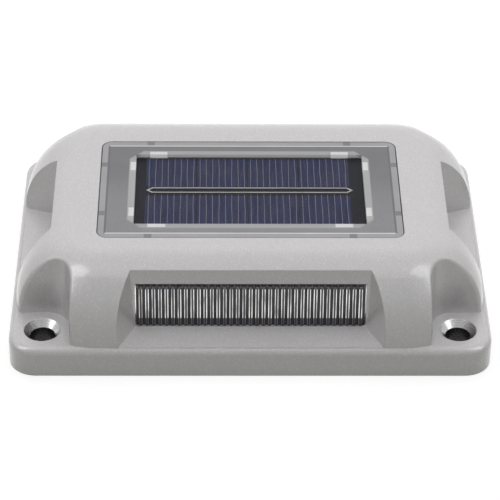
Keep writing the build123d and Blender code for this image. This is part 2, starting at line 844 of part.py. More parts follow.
with BuildPart() as power_button:
    with BuildSketch(Plane.XY.offset(button_recess)):
        with Locations((button_x, control_offset)):
            Circle(button_stem / 2)
    extrude(amount=plate_seat + button_rest_gap - button_recess)
    fillet(power_button.edges().group_by(Axis.Z)[0], button_edge)
    with BuildSketch(Plane.XY.offset(plate_seat + button_rest_gap)):
        with Locations((button_x, control_offset)):
            Circle(button_flange / 2)
    extrude(amount=button_flange_height)

power_button.part.label = "power_button"
export_step(power_button.part, "parts/power_button.step")

with BuildPart() as switch_plunger:
    with BuildSketch(Plane.XY.offset(plunger_bottom)):
        with Locations((button_x, control_offset)):
            Circle(plunger_diameter / 2)
    extrude(amount=switch_bottom + plunger_grip - plunger_bottom)

switch_plunger.part.label = "switch_plunger"
export_step(switch_plunger.part, "parts/switch_plunger.step")

with BuildPart() as switch_body:
    with BuildSketch(Plane.XY.offset(switch_bottom)):
        with Locations((button_x, control_offset)):
            Rectangle(switch_size, switch_size)
    extrude(amount=switch_height)
    with BuildSketch(Plane.XY.offset(switch_bottom)):
        with Locations((button_x, control_offset)):
            Circle(plunger_diameter / 2 + button_fit)
    extrude(amount=plunger_grip + button_travel + plunger_spare, mode=Mode.SUBTRACT)

switch_body.part.label = "switch_body"
export_step(switch_body.part, "parts/switch_body.step")


# Control board and its components

with BuildPart() as control_board:
    with BuildSketch(Plane.XY.offset(control_bottom)):
        with Locations((0, control_offset)):
            Rectangle(control_length, control_width)
        with Locations(*post_points):
            Circle(small_screw / 2 + screw_fit, mode=Mode.SUBTRACT)
    extrude(amount=control_thickness)

control_board.part.label = "control_board"
export_step(control_board.part, "parts/control_board.step")

with BuildPart() as control_screws:
    with Locations(Plane.XY.offset(control_top)):
        with Locations(*post_points):
            add(pan_screw.part)

control_screws.part.label = "control_screws"
export_step(control_screws.part, "parts/control_screws.step")

with BuildPart() as driver_chip:
    with BuildSketch(Plane.XY.offset(control_top)):
        with Locations((chip_x, component_row)):
            Rectangle(chip_length, chip_width)
    extrude(amount=chip_height)
    chamfer(driver_chip.edges().group_by(Axis.Z)[-1], chip_height / 5)

driver_chip.part.label = "driver_chip"
export_step(driver_chip.part, "parts/driver_chip.step")

with BuildPart() as power_inductor:
    with BuildSketch(Plane.XY.offset(control_top)):
        with Locations((inductor_x, component_row)):
            RectangleRounded(inductor_size, inductor_size, inductor_size / 6)
    extrude(amount=inductor_height)
    with BuildSketch(Plane.XY.offset(control_top + inductor_height)):
        with Locations((inductor_x, component_row)):
            Circle(inductor_size / 3)
    extrude(amount=-inductor_height / 5, mode=Mode.SUBTRACT)

power_inductor.part.label = "power_inductor"
export_step(power_inductor.part, "parts/power_inductor.step")

with BuildPart() as filter_capacitor:
    with BuildSketch(Plane.XY.offset(control_top)):
        with Locations((capacitor_x, component_row)):
            Circle(capacitor_diameter / 2)
    extrude(amount=capacitor_height)
    fillet(filter_capacitor.edges().group_by(Axis.Z)[-1], capacitor_diameter / 16)

filter_capacitor.part.label = "filter_capacitor"
export_step(filter_capacitor.part, "parts/filter_capacitor.step")

with BuildPart() as chip_resistors:
    with BuildSketch(Plane.XY.offset(control_top)):
        with Locations((resistor_x, component_row)):
            with GridLocations(resistor_length + resistor_width, resistor_pitch, 2, 3):
                Rectangle(resistor_length, resistor_width)
    extrude(amount=resistor_height)

chip_resistors.part.label = "chip_resistors"
export_step(chip_resistors.part, "parts/chip_resistors.step")

with BuildPart() as board_connectors:
    with BuildSketch(Plane.XY.offset(control_top)):
        with Locations((0, connector_y)):
            with GridLocations(connector_pitch, 0, connector_count, 1):
                Rectangle(connector_length, connector_width)
    extrude(amount=connector_height)
    chamfer(board_connectors.edges().group_by(Axis.Z)[-1], connector_height / 12)

board_connectors.part.label = "board_connectors"
export_step(board_connectors.part, "parts/board_connectors.step")


# Battery, its holder and its contacts

with BuildPart() as battery_holder:
    with BuildSketch(Plane.XY.offset(plate_seat)):
        with Locations((0, battery_offset)):
            Rectangle(holder_length, holder_width)
    extrude(amount=holder_side_height)
    with BuildSketch(Plane.XY.offset(plate_seat + holder_floor)):
        with Locations((0, battery_offset)):
            Rectangle(holder_length - 2 * holder_wall, holder_width - 2 * holder_wall)
    extrude(amount=holder_side_height, mode=Mode.SUBTRACT)
    with BuildSketch(Plane.XY.offset(plate_seat)):
        with Locations((0, battery_offset)):
            with GridLocations(peg_spacing, 0, 2, 1):
                Circle(peg_diameter / 2 + screw_fit)
    extrude(amount=holder_floor, mode=Mode.SUBTRACT)

battery_holder.part.label = "battery_holder"
export_step(battery_holder.part, "parts/battery_holder.step")

with BuildPart() as battery_cell:
    with BuildSketch(Plane.YZ.offset(-cell_span / 2)):
        with Locations((battery_offset, cell_level)):
            Circle(cell_diameter / 2)
    extrude(amount=cell_body_length)
    fillet(battery_cell.edges().filter_by(GeomType.CIRCLE), cell_edge)
    with BuildSketch(Plane.YZ.offset(-cell_span / 2 + cell_body_length)):
        with Locations((battery_offset, cell_level)):
            Circle(cell_nub_diameter / 2)
    extrude(amount=cell_nub_length)

battery_cell.part.label = "battery_cell"
export_step(battery_cell.part, "parts/battery_cell.step")

with BuildPart() as battery_contacts:
    with BuildSketch(Plane.XY.offset(plate_seat + holder_floor)):
        with Locations((0, battery_offset)):
            with GridLocations(cell_span + contact_thickness, 0, 2, 1):
                Rectangle(contact_thickness, contact_width)
    extrude(amount=contact_height)

battery_contacts.part.label = "battery_contacts"
export_step(battery_contacts.part, "parts/battery_contacts.step")


# Leads inside the housing

def make_lead(points):
    """One insulated lead along straight runs joined by tangent arcs."""
    with BuildPart() as lead:
        with BuildLine():
            route = FilletPolyline(*points, radius=lead_bend)
        with BuildSketch(Plane(origin=route @ 0, z_dir=route % 0)):
            Circle(lead_diameter / 2)
        sweep()
    section = pi * lead_diameter ** 2 / 4
    ratio = lead.part.volume / (section * route.length)
    print(f"lead bend radius {lead_bend} mm, length {route.length:.1f} mm, volume ratio {ratio:.4f}")
    return lead.part


def light_lead(turn, edge, place, connector):
    """Lead from the back of a light board up and over to its place on the control board."""
    back = wall_plane(turn, edge, light_board_face + light_board_thickness)
    start = back.from_local_coords((place, lens_middle, 0))
    inward = -outward_of(turn)
    first = start - back.z_dir * lead_exit
    second = Vector(first.X, first.Y, lead_level) + inward * lead_rise_run
    third = Vector(connector, connector_y, lead_level)
    return make_lead([start, first, second, third, Vector(connector, connector_y, connector_top)])


for side_name, turn, edge, place, connector in (
    ("left", 270, length / 2, 0, connector_xs[0]),
    ("rear", 180, width / 2, -connector_xs[3], connector_xs[3]),
    ("front", 0, width / 2, connector_xs[4], connector_xs[4]),
    ("right", 90, length / 2, 0, connector_xs[5]),
):
    side_lead = light_lead(turn, edge, place, connector)
    side_lead.label = f"{side_name}_light_lead"
    export_step(side_lead, f"parts/{side_name}_light_lead.step")

with BuildPart() as battery_leads:
    contact_x = cell_span / 2 + contact_thickness + lead_diameter / 2
    for side, level in ((-1, lead_level), (1, battery_lead_level)):
        contact = Vector(side * contact_x, battery_offset, plate_seat + holder_side_height)
        pin_x = connector_xs[1] + side * lead_pair_spacing / 2
        add(make_lead([
            contact,
            Vector(contact.X, contact.Y, level),
            Vector(pin_x, connector_y, level),
            Vector(pin_x, connector_y, connector_top),
        ]))

battery_leads.part.label = "battery_leads"
export_step(battery_leads.part, "parts/battery_leads.step")

with BuildPart() as solar_leads:
    for side in (-1, 1):
        pin_x = solar_connector_x + side * lead_pair_spacing / 2
        add(make_lead([
            Vector(pin_x, solar_lead_y, board_bottom),
            Vector(pin_x, solar_lead_y, board_bottom - lead_bend - lead_diameter / 4),
            Vector(pin_x, connector_y, lead_level),
            Vector(pin_x, connector_y, connector_top),
        ]))

solar_leads.part.label = "solar_leads"
export_step(solar_leads.part, "parts/solar_leads.step")
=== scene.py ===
"""Looks of a solar dock light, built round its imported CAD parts.

The light is a low cast housing with a clear window over a solar board, a ribbed lens in each side and a
plate screwed underneath. Lengths are in metres. X runs along the length, the front faces -Y, +Z is up, and
the origin is the middle of the underside.
"""

import logging
import math
from collections.abc import Iterable
from dataclasses import dataclass, field
from enum import Enum
from typing import Optional, Union

import bpy
from mathutils import Matrix, Vector


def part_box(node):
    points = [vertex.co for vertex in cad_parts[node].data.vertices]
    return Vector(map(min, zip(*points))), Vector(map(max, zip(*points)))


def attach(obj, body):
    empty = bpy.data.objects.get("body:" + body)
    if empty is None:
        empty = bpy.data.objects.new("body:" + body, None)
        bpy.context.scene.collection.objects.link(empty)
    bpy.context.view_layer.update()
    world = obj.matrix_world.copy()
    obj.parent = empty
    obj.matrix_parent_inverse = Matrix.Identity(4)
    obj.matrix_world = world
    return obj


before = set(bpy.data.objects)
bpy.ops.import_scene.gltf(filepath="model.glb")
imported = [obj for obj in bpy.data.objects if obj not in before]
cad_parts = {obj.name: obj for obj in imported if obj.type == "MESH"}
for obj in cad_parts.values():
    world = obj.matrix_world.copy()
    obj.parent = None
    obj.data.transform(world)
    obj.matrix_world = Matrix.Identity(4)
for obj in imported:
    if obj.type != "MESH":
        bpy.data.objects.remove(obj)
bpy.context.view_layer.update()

LOG = logging.getLogger("dock_light")
MM = 0.001

# Noise seldom leaves this range, so finishes spread it over their own.
NOISE_LOW = 0.3
NOISE_HIGH = 0.7

# Waves of a printed line: share of the whole, turn from line to line, and turn along a line.
LINE_WAVES = ((1.0, 2.1, 3.6), (0.5, 5.3, 8.0))

Socket = bpy.types.NodeSocket
Material = bpy.types.Material
Colour = tuple[float, float, float]
Value = Union[Socket, float]


class Side(Enum):
    """The four sides of the light that hold a lens, each with the axis that its ribs follow."""

    FRONT = ("front", "X")
    RIGHT = ("right", "Y")
    REAR = ("rear", "X")
    LEFT = ("left", "Y")

    @property
    def label(self) -> str:
        """Name of the side, as its nodes begin."""
        return self.value[0]

    @property
    def across(self) -> str:
        """Axis along which the ribs repeat."""
        return self.value[1]


class Grain(Enum):
    """How coarse a moulded skin is: the size of its grains and how deep they are."""

    POLISHED = (0.9 * MM, 0.003 * MM)
    SATIN = (0.35 * MM, 0.008 * MM)
    SPARK_ERODED = (0.25 * MM, 0.020 * MM)

    @property
    def size(self) -> float:
        """Size of one grain."""
        return self.value[0]

    @property
    def depth(self) -> float:
        """Depth of the grains."""
        return self.value[1]


class Graph:
    """A node tree with short calls that add nodes and join them."""

    def __init__(self, tree: bpy.types.NodeTree) -> None:
        """Keeps the tree that the calls work on.

        Args:
            tree: Node tree of a material or of a shader group.
        """
        self.tree = tree

    def add(self, kind: str, **settings: object) -> bpy.types.Node:
        """Adds one node.

        Args:
            kind: Type name of the node.
            settings: Properties to set on it.

        Returns:
            The new node.
        """
        node = self.tree.nodes.new(kind)
        for key, value in settings.items():
            setattr(node, key, value)
        return node

    def feed(self, target: Socket, value: Union[Value, Colour]) -> None:
        """Joins a socket to an input, or sets the input to a constant.

        Args:
            target: Input that takes the value.
            value: A socket, a number or a colour.
        """
        if isinstance(value, Socket):
            self.tree.links.new(value, target)
        elif target.type == "RGBA":
            target.default_value = (*value, 1.0)
        else:
            target.default_value = value

    def math(self, operation: str, first: Value, second: Value = 0.0) -> Socket:
        """Adds a Math node.

        Args:
            operation: Name of the sum, such as MULTIPLY.
            first: First input.
            second: Second input, where the sum has one.

        Returns:
            The result.
        """
        node = self.add("ShaderNodeMath", operation=operation)
        self.feed(node.inputs[0], first)
        self.feed(node.inputs[1], second)
        return node.outputs[0]

    def between(self, value: Value, low: float, high: float, start: float = 0.0, end: float = 1.0) -> Socket:
        """Maps a value from one range to another with soft ends.

        Args:
            value: What is mapped.
            low: Value that gives start.
            high: Value that gives end.
            start: Result at low.
            end: Result at high.

        Returns:
            The mapped value.
        """
        node = self.add("ShaderNodeMapRange", interpolation_type="SMOOTHSTEP")
        names = ("Value", "From Min", "From Max", "To Min", "To Max")
        for name, given in zip(names, (value, low, high, start, end)):
            self.feed(node.inputs[name], given)
        return node.outputs["Result"]

    def spread(self, noise: Socket, start: float = 0.0, end: float = 1.0) -> Socket:
        """Spreads noise over the range from start to end."""
        return self.between(noise, NOISE_LOW, NOISE_HIGH, start, end)

    def mix(self, factor: Value, first: Union[Socket, Colour], second: Union[Socket, Colour]) -> Socket:
        """Mixes two colours.

        Args:
            factor: Share of the second colour.
            first: Colour at 0.
            second: Colour at 1.

        Returns:
            The mixed colour.
        """
        node = self.add("ShaderNodeMix", data_type="RGBA")
        self.feed(node.inputs[0], factor)
        self.feed(node.inputs[6], first)
        self.feed(node.inputs[7], second)
        return node.outputs[2]

    def place(self) -> Socket:
        """Position on the piece, in metres, which moves with the piece."""
        return self.add("ShaderNodeTexCoord").outputs["Object"]

    def axes(self, vector: Socket) -> dict[str, Socket]:
        """Splits a vector into its parts X, Y and Z."""
        node = self.add("ShaderNodeSeparateXYZ")
        self.feed(node.inputs[0], vector)
        return {name: node.outputs[name] for name in "XYZ"}

    def stretched(self, factors: Colour) -> Socket:
        """Position on the piece with each axis multiplied by its own factor."""
        node = self.add("ShaderNodeVectorMath", operation="MULTIPLY")
        self.feed(node.inputs[0], self.place())
        node.inputs[1].default_value = factors
        return node.outputs[0]

    def noise(self, size: Value, detail: float = 2.0, vector: Optional[Socket] = None) -> Socket:
        """Adds soft noise.

        Args:
            size: Size of its spots, in metres.
            detail: How many finer layers it has.
            vector: Position that it is read at, where that isn't the plain one.

        Returns:
            Noise from 0 to 1.
        """
        node = self.add("ShaderNodeTexNoise")
        self.feed(node.inputs["Vector"], vector or self.place())
        self.feed(node.inputs["Scale"], self.math("DIVIDE", 1.0, size))
        self.feed(node.inputs["Detail"], detail)
        return node.outputs["Fac"]

    def group(self, tree: bpy.types.NodeTree, **values: Value) -> bpy.types.Node:
        """Places a shader group.

        Args:
            tree: The group.
            values: What its inputs get, by name, with an underscore for a space.

        Returns:
            The group's node.
        """
        node = self.add("ShaderNodeGroup", node_tree=tree)
        for key, value in values.items():
            self.feed(node.inputs[key.replace("_", " ")], value)
        return node

    def bump(self, height: Value, depth: float, normal: Optional[Socket] = None) -> Socket:
        """Adds relief to a surface.

        Args:
            height: Height over the surface, 0 to 1.
            depth: Depth of the relief, in metres.
            normal: Normal that it starts from.

        Returns:
            The new normal.
        """
        node = self.add("ShaderNodeBump")
        node.inputs["Distance"].default_value = depth
        self.feed(node.inputs["Height"], height)
        if normal is not None:
            self.feed(node.inputs["Normal"], normal)
        return node.outputs["Normal"]


def new_group(name: str, inputs: dict[str, float], outputs: dict[str, str]) -> tuple[Graph, dict, dict]:
    """Starts a shader group.

    Args:
        name: Name of the group.
        inputs: Its inputs, all plain values, with what each is at first.
        outputs: Its outputs, with the kind of socket of each.

    Returns:
        The group's graph, what it is given and where its results go, both by name.
    """
    tree = bpy.data.node_groups.new(name, "ShaderNodeTree")
    for key, value in inputs.items():
        socket = tree.interface.new_socket(key, in_out="INPUT", socket_type="NodeSocketFloat")
        socket.default_value = value
    for key, kind in outputs.items():
        tree.interface.new_socket(key, in_out="OUTPUT", socket_type=kind)
    graph = Graph(tree)
    given = graph.add("NodeGroupInput").outputs
    result = graph.add("NodeGroupOutput").inputs
    return graph, {key: given[key] for key in inputs}, {key: result[key] for key in outputs}


def build_skin_group() -> bpy.types.NodeTree:
    """Grain of a moulded or cast skin, with slow patches over it.

    Returns:
        Group with the inputs Grain Size and Patch Size, and the outputs Grain and Patches, both 0 to 1.
    """
    graph, given, result = new_group(
        "skin_grain",
        {"Grain Size": 0.3 * MM, "Patch Size": 12 * MM},
        {"Grain": "NodeSocketFloat", "Patches": "NodeSocketFloat"},
    )
    graph.feed(result["Grain"], graph.noise(given["Grain Size"], 3.0))
    graph.feed(result["Patches"], graph.spread(graph.noise(given["Patch Size"])))
    return graph.tree


def build_flake_group() -> bpy.types.NodeTree:
    """Metal flakes in a paint.

    Returns:
        Group with the inputs Flake Size and Share, and the outputs Bright, which is 1 on the flakes that are
        painted as glints facing the light, and Shade, which each flake has for itself.
    """
    graph, given, result = new_group(
        "metal_flake",
        {"Flake Size": 0.3 * MM, "Share": 0.08},
        {"Bright": "NodeSocketFloat", "Shade": "NodeSocketFloat"},
    )
    cells = graph.add("ShaderNodeTexVoronoi", feature="F1")
    graph.feed(cells.inputs["Vector"], graph.place())
    graph.feed(cells.inputs["Scale"], graph.math("DIVIDE", 1.0, given["Flake Size"]))
    chances = graph.axes(cells.outputs["Color"])
    limit = graph.math("SUBTRACT", 1.0, given["Share"])
    graph.feed(result["Bright"], graph.math("GREATER_THAN", chances["X"], limit))
    graph.feed(result["Shade"], chances["Y"])
    return graph.tree


def build_edge_group() -> bpy.types.NodeTree:
    """Soft edges of a cast or moulded piece.

    Returns:
        Group with the input Radius, and the outputs Normal, rounded over each edge, and Edge, which is 1
        on the edges.
    """
    graph, given, result = new_group(
        "soft_edge",
        {"Radius": 0.3 * MM},
        {"Normal": "NodeSocketVector", "Edge": "NodeSocketFloat"},
    )
    bevel = graph.add("ShaderNodeBevel", samples=8)
    graph.feed(bevel.inputs["Radius"], given["Radius"])
    turned = graph.add("ShaderNodeVectorMath", operation="DOT_PRODUCT")
    graph.feed(turned.inputs[0], bevel.outputs["Normal"])
    graph.feed(turned.inputs[1], graph.add("ShaderNodeNewGeometry").outputs["Normal"])
    graph.feed(result["Normal"], bevel.outputs["Normal"])
    graph.feed(result["Edge"], graph.between(turned.outputs["Value"], 0.99, 0.85))
    return graph.tree


def build_repeat_group() -> bpy.types.NodeTree:
    """Place within ribs or grooves that repeat along one direction.

    Returns:
        Group with the inputs Along and Pitch, and the outputs Off, from 0 in the middle of a rib to 0.5
        between two, and Chance, a number from 0 to 1 that each rib keeps.
    """
    graph, given, result = new_group(
        "repeat",
        {"Along": 0.0, "Pitch": 2 * MM},
        {"Off": "NodeSocketFloat", "Chance": "NodeSocketFloat"},
    )
    turns = graph.math("ADD", graph.math("DIVIDE", given["Along"], given["Pitch"]), 0.5)
    within = graph.math("SUBTRACT", turns, graph.math("FLOOR", turns))
    graph.feed(result["Off"], graph.math("ABSOLUTE", graph.math("SUBTRACT", within, 0.5)))
    chance = graph.add("ShaderNodeTexWhiteNoise", noise_dimensions="1D")
    graph.feed(chance.inputs["W"], graph.math("FLOOR", turns))
    graph.feed(result["Chance"], chance.outputs["Value"])
    return graph.tree


@dataclass
class Effects:
    """Shader groups that the finishes share."""

    skin: bpy.types.NodeTree = field(default_factory=build_skin_group)
    flake: bpy.types.NodeTree = field(default_factory=build_flake_group)
    edge: bpy.types.NodeTree = field(default_factory=build_edge_group)
    repeat: bpy.types.NodeTree = field(default_factory=build_repeat_group)


def start_material(name: str) -> tuple[Material, Graph, dict[str, Socket]]:
    """Starts a material with one Principled shader.

    Args:
        name: Name of the material.

    Returns:
        The material, its graph and the shader's inputs by name.
    """
    material = bpy.data.materials.new(name)
    material.use_nodes = True
    shader = material.node_tree.nodes["Principled BSDF"]
    return material, Graph(material.node_tree), {socket.name: socket for socket in shader.inputs}


@dataclass(frozen=True)
class CastPaint:
    """Light grey metallic paint on the casting, with painted glints on some flakes, bare metal in the
    countersunk screw holes and painted shade down their bores.
    """

    paint: Colour = (0.650, 0.636, 0.646)
    shaded: Colour = (0.560, 0.550, 0.554)
    # Near-white of the flakes painted as glints: painted highlight.
    flash: Colour = (0.90, 0.89, 0.89)
    bare: Colour = (0.46, 0.46, 0.46)
    # Near-black painted shade down the bore of each screw hole.
    bore_shade: Colour = (0.020, 0.020, 0.019)
    flake_size: float = 0.20 * MM
    edge_radius: float = 0.45 * MM
    hole_x: float = 64.6 * MM
    hole_y: float = 43.1 * MM
    bare_reach: float = 5.75 * MM
    bore_shade_reach: float = 3.95 * MM
    groove_pitch: float = 0.5 * MM
    groove_depth: float = 0.02 * MM
    grain_depth: float = 0.015 * MM
    cut_softness: float = 0.1 * MM
    flake_share: float = 0.05
    flash_share: float = 0.45
    patch_share: float = 0.15
    flake_metal: float = 0.15
    paint_metal: float = 0.10
    bore_shade_dulling: float = 0.8
    cut_polish: float = 0.16
    coat_roughness: float = 0.11

    def material(self, effects: Effects) -> Material:
        """Builds the finish.

        Args:
            effects: Shared shader groups.

        Returns:
            The material.
        """
        material, graph, shader = start_material("cast_paint")
        skin = graph.group(effects.skin, Grain_Size=0.55 * MM, Patch_Size=18 * MM)
        flake = graph.group(effects.flake, Flake_Size=self.flake_size, Share=self.flake_share)
        edge = graph.group(effects.edge, Radius=self.edge_radius)
        hole = self.hole_distance(graph)
        bare = graph.between(hole, self.bare_reach, self.bare_reach - self.cut_softness)
        # The bore below each countersink is painted near-black: painted shade in the hole.
        bore_shade = graph.between(hole, self.bore_shade_reach, self.bore_shade_reach - self.cut_softness)
        tone = graph.mix(flake.outputs["Shade"], self.shaded, self.paint)
        worn = graph.math("MULTIPLY", skin.outputs["Patches"], self.patch_share)
        patched = graph.mix(worn, tone, self.shaded)
        # A few flakes are painted near-white as glints that face the light: painted highlight.
        bright = flake.outputs["Bright"]
        painted = graph.mix(graph.math("MULTIPLY", bright, self.flash_share), patched, self.flash)
        cut = graph.mix(bore_shade, self.bare, self.bore_shade)
        graph.feed(shader["Base Color"], graph.mix(bare, painted, cut))
        metal = graph.math("ADD", graph.math("MULTIPLY", bright, self.flake_metal), self.paint_metal)
        open_metal = graph.math("SUBTRACT", bare, graph.math("MULTIPLY", bore_shade, self.bore_shade_dulling))
        graph.feed(shader["Metallic"], graph.math("MAXIMUM", metal, open_metal))
        rough = graph.spread(skin.outputs["Grain"], 0.38, 0.48)
        polish = graph.math("MULTIPLY", bare, self.cut_polish)
        graph.feed(shader["Roughness"], graph.math("SUBTRACT", rough, polish))
        shader["Coat Roughness"].default_value = self.coat_roughness
        graph.feed(shader["Coat Weight"], graph.between(bare, 0.0, 1.0, 1.0, 0.0))
        turned = graph.group(effects.repeat, Along=hole, Pitch=self.groove_pitch)
        groove = graph.math("MULTIPLY", turned.outputs["Off"], bare)
        relief = graph.bump(skin.outputs["Grain"], self.grain_depth, edge.outputs["Normal"])
        graph.feed(shader["Normal"], graph.bump(groove, self.groove_depth, relief))
        return material

    def hole_distance(self, graph: Graph) -> Socket:
        """Level distance to the axis of the nearest screw hole.

        Args:
            graph: The material's graph.

        Returns:
            The distance.
        """
        place = graph.axes(graph.place())
        off_x = graph.math("SUBTRACT", graph.math("ABSOLUTE", place["X"]), self.hole_x)
        off_y = graph.math("SUBTRACT", graph.math("ABSOLUTE", place["Y"]), self.hole_y)
        square = graph.math("ADD", graph.math("MULTIPLY", off_x, off_x), graph.math("MULTIPLY", off_y, off_y))
        return graph.math("SQRT", square)


@dataclass(frozen=True)
class Moulded:
    """A moulded plastic or rubber: one colour with its grain, patches and softened edges, painted paler
    partly as rubbing and partly as a painted highlight.
    """

    name: str
    colour: Colour
    grain: Grain = Grain.SATIN
    roughness: float = 0.5
    change: float = 0.12
    edge_radius: float = 0.15 * MM
    specular: float = 0.5

    def material(self, effects: Effects) -> Material:
        """Builds the finish.

        Args:
            effects: Shared shader groups.

        Returns:
            The material.
        """
        material, graph, shader = start_material(self.name)
        skin = graph.group(effects.skin, Grain_Size=self.grain.size, Patch_Size=9 * MM)
        edge = graph.group(effects.edge, Radius=self.edge_radius)
        deep = tuple(part * (1 - self.change) for part in self.colour)
        pale = tuple(min(1.0, part * (1 + self.change) + 0.01) for part in self.colour)
        grained = graph.mix(skin.outputs["Grain"], deep, pale)
        patched = graph.mix(graph.math("MULTIPLY", skin.outputs["Patches"], 0.3), grained, deep)
        # Edges painted paler: partly rubbing, partly a painted highlight where they catch the light.
        rubbed_and_highlit = graph.math("MULTIPLY", edge.outputs["Edge"], 0.4)
        graph.feed(shader["Base Color"], graph.mix(rubbed_and_highlit, patched, pale))
        low, high = self.roughness - 0.06, self.roughness + 0.06
        graph.feed(shader["Roughness"], graph.spread(skin.outputs["Grain"], low, high))
        shader["Specular IOR Level"].default_value = self.specular
        relief = graph.bump(skin.outputs["Grain"], self.grain.depth, edge.outputs["Normal"])
        graph.feed(shader["Normal"], relief)
        return material


@dataclass(frozen=True)
class BareMetal:
    """Brushed or drawn metal, with fine lines along one axis."""

    name: str
    colour: Colour
    line_factors: Colour = (1.0, 0.05, 1.0)
    roughness: float = 0.3

    def material(self, effects: Effects) -> Material:
        """Builds the finish.

        Args:
            effects: Shared shader groups.

        Returns:
            The material.
        """
        material, graph, shader = start_material(self.name)
        skin = graph.group(effects.skin, Grain_Size=0.2 * MM, Patch_Size=5 * MM)
        edge = graph.group(effects.edge, Radius=0.12 * MM)
        lines = graph.noise(0.08 * MM, 3.0, graph.stretched(self.line_factors))
        dull = tuple(part * 0.8 for part in self.colour)
        dulled = graph.math("MULTIPLY", skin.outputs["Patches"], 0.5)
        graph.feed(shader["Base Color"], graph.mix(dulled, self.colour, dull))
        shader["Metallic"].default_value = 1.0
        low, high = self.roughness - 0.08, self.roughness + 0.10
        graph.feed(shader["Roughness"], graph.spread(lines, low, high))
        graph.feed(shader["Normal"], graph.bump(lines, 0.004 * MM, edge.outputs["Normal"]))
        return material


@dataclass(frozen=True)
class ClearSheet:
    """Window sheet: clear over the board, frosted round it, with a paler strip along the outer edge.

    The frost is painted lighter toward the front and darker toward the rear as painted light and shade, and
    the line inside the strip is painted bright on the long sides as a painted highlight and dark on the ends.
    """

    half_long: float
    half_wide: float
    well_long: float
    well_wide: float
    board_long: float
    board_wide: float
    well_corner: float = 4.5 * MM
    strip_width: float = 2.0 * MM
    line_width: float = 0.6 * MM
    # Frost painted darker at the rear and lighter at the front: painted shade and painted light.
    rear_frost_shaded: Colour = (0.235, 0.237, 0.245)
    front_frost_lit: Colour = (0.315, 0.315, 0.325)
    strip: Colour = (0.43, 0.43, 0.44)
    # Painted highlight on the line along the long sides.
    bright_line: Colour = (0.80, 0.80, 0.81)
    dark_line: Colour = (0.20, 0.20, 0.21)
    ring: Colour = (0.51, 0.515, 0.52)
    clear: Colour = (0.20, 0.21, 0.24)
    pad: Colour = (0.80, 0.81, 0.80)
    haze: float = 0.015
    ring_cover: float = 0.78
    pad_cover: float = 0.92
    light_through: float = 0.7
    mask_softness: float = 0.12 * MM
    pad_width: float = 1.7 * MM
    pad_gap: float = 0.15 * MM
    side_pad: float = 5.6 * MM
    end_pad: float = 4.6 * MM
    pad_from_end: float = 7.1 * MM
    pad_from_side: float = 6.4 * MM
    notch_width: float = 2.4 * MM
    notch_from_end: float = 15.7 * MM
    notch_from_side: float = 13.1 * MM

    def material(self, effects: Effects) -> Material:
        """Builds the finish.

        Args:
            effects: Shared shader groups.

        Returns:
            The material.
        """
        material, graph, shader = start_material("clear_sheet")
        skin = graph.group(effects.skin, Grain_Size=0.5 * MM, Patch_Size=14 * MM)
        edge = graph.group(effects.edge, Radius=0.3 * MM)
        place = graph.axes(graph.place())
        along = graph.math("ABSOLUTE", place["X"])
        across = graph.math("ABSOLUTE", place["Y"])
        inset_long = graph.math("SUBTRACT", self.half_long, along)
        inset_wide = graph.math("SUBTRACT", self.half_wide, across)
        inset = graph.math("MINIMUM", inset_long, inset_wide)
        on_end = graph.between(graph.math("SUBTRACT", inset_wide, inset_long), -0.2 * MM, 0.2 * MM)
        on_strip = graph.between(inset, self.strip_width, self.strip_width - 0.2 * MM)
        on_line = self.band(graph, inset, self.strip_width + self.line_width / 2)
        frosted = graph.between(self.beyond_well(graph, along, across), -0.25 * MM, 0.15 * MM)
        off_board = self.beyond_board(graph, along, across)
        on_ring = graph.between(off_board, 0.0, 0.2 * MM)
        # Painted light and shade: the frost is lighter toward the front and darker toward the rear.
        frost = graph.mix(graph.between(place["Y"], -0.5 * self.half_wide, 0.5 * self.half_wide),
                          self.front_frost_lit, self.rear_frost_shaded)
        dull = graph.math("MULTIPLY", graph.between(skin.outputs["Grain"], 0.35, 0.65), 0.25)
        ground = graph.mix(dull, frost, self.dark_line)
        ground = graph.mix(on_strip, ground, self.strip)
        # Painted highlight: the line is bright on the long sides and dark on the ends.
        ground = graph.mix(on_line, ground, graph.mix(on_end, self.bright_line, self.dark_line))
        notches = graph.math("MULTIPLY", on_strip, self.notches(graph, along, across, on_end))
        ground = graph.mix(graph.math("MULTIPLY", notches, 0.7), ground, self.dark_line)
        on_pad = self.pads(graph, along, across)
        inner = graph.mix(on_ring, self.clear, graph.mix(on_pad, self.ring, self.pad))
        graph.feed(shader["Base Color"], graph.mix(frosted, inner, ground))
        graph.feed(shader["Roughness"], graph.between(frosted, 0.0, 1.0, 0.12, 0.42))
        shader["Specular IOR Level"].default_value = 0.2
        cloud = graph.between(skin.outputs["Patches"], 0.0, 1.0, self.haze * 0.7, self.haze * 1.3)
        cover = graph.between(skin.outputs["Patches"], 0.0, 1.0, 0.90, 0.95)
        printed = graph.between(on_pad, 0.0, 1.0, self.ring_cover, self.pad_cover)
        veil = graph.math("MAXIMUM", graph.math("MULTIPLY", on_ring, printed), cloud)
        alpha = graph.math("MAXIMUM", veil, graph.math("MULTIPLY", frosted, cover))
        shadow = graph.add("ShaderNodeLightPath").outputs["Is Shadow Ray"]
        passed = graph.math("SUBTRACT", 1.0, graph.math("MULTIPLY", shadow, self.light_through))
        graph.feed(shader["Alpha"], graph.math("MULTIPLY", alpha, passed))
        graph.feed(shader["Normal"], graph.bump(skin.outputs["Grain"], 0.001 * MM, edge.outputs["Normal"]))
        return material

    def band(self, graph: Graph, inset: Socket, middle: float) -> Socket:
        """1 on a thin line that runs round the sheet.

        Args:
            graph: The material's graph.
            inset: How far in from the outer edge a point lies.
            middle: How far in from the outer edge the line runs.

        Returns:
            The mask.
        """
        off = graph.math("ABSOLUTE", graph.math("SUBTRACT", inset, middle))
        return graph.between(off, self.line_width * 0.6, self.line_width * 0.3)

